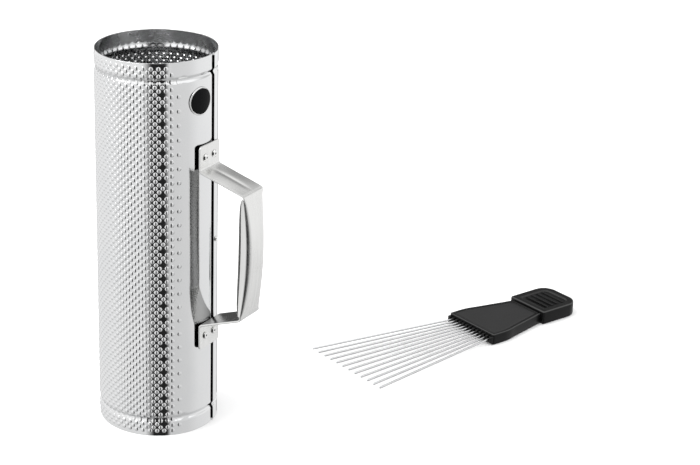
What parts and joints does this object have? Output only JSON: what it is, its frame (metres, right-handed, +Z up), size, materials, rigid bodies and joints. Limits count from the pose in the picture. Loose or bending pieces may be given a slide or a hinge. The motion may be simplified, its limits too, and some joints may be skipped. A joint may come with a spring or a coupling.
{
  "type": "guira",
  "caption": "Metal guira: a riveted sheet-steel tube covered in small pressed domes, with a bent strap handle, and a loose fork scraper with steel tines and a black handle.",
  "frame": {"origin": "middle of the base of the whole set's box, on the surface that the tube stands on and the scraper lies on", "axes": "+Z up along the tube, +X from the tube's axis towards its strap handle, +Y towards the side where the scraper lies"},
  "size_m": [0.3206, 0.5438, 0.39],
  "materials": {
    "polished_steel": "polished sheet steel",
    "satin_steel": "satin, brushed along the strap",
    "rivet_steel": "bright drawn metal",
    "dark_steel": "dark broken mandrel ends",
    "badge_rim": "bright plated",
    "black_enamel": "gloss black, bare",
    "tine_steel": "bright spring wire",
    "black_plastic": "satin black moulding"
  },
  "bodies": {
    "guira": {"tube": "polished_steel", "strap_handle": "satin_steel", "rivet_top_front": "rivet_steel", "rivet_top_rear": "rivet_steel", "rivet_bottom_front": "rivet_steel", "rivet_bottom_rear": "rivet_steel", "rivet_seam": "rivet_steel", "mandrel_top_front": "dark_steel", "mandrel_top_rear": "dark_steel", "mandrel_bottom_front": "dark_steel", "mandrel_bottom_rear": "dark_steel", "mandrel_seam": "dark_steel", "badge_plate": "badge_rim", "badge_face": "black_enamel"},
    "scraper": {"scraper_body": "black_plastic", "scraper_cover": "black_plastic", "scraper_butt": "black_plastic", "tine_01": "tine_steel", "tine_02": "tine_steel", "tine_03": "tine_steel", "tine_04": "tine_steel", "tine_05": "tine_steel", "tine_06": "tine_steel", "tine_07": "tine_steel", "tine_08": "tine_steel", "tine_09": "tine_steel", "tine_10": "tine_steel", "tine_11": "tine_steel", "tine_12": "tine_steel"}
  },
  "joints": [
    {"name": "scraper_lift", "type": "slide", "parent": "guira", "child": "scraper", "axis": [0, 0, 1], "range_m": [0, 0.25]}
  ]
}
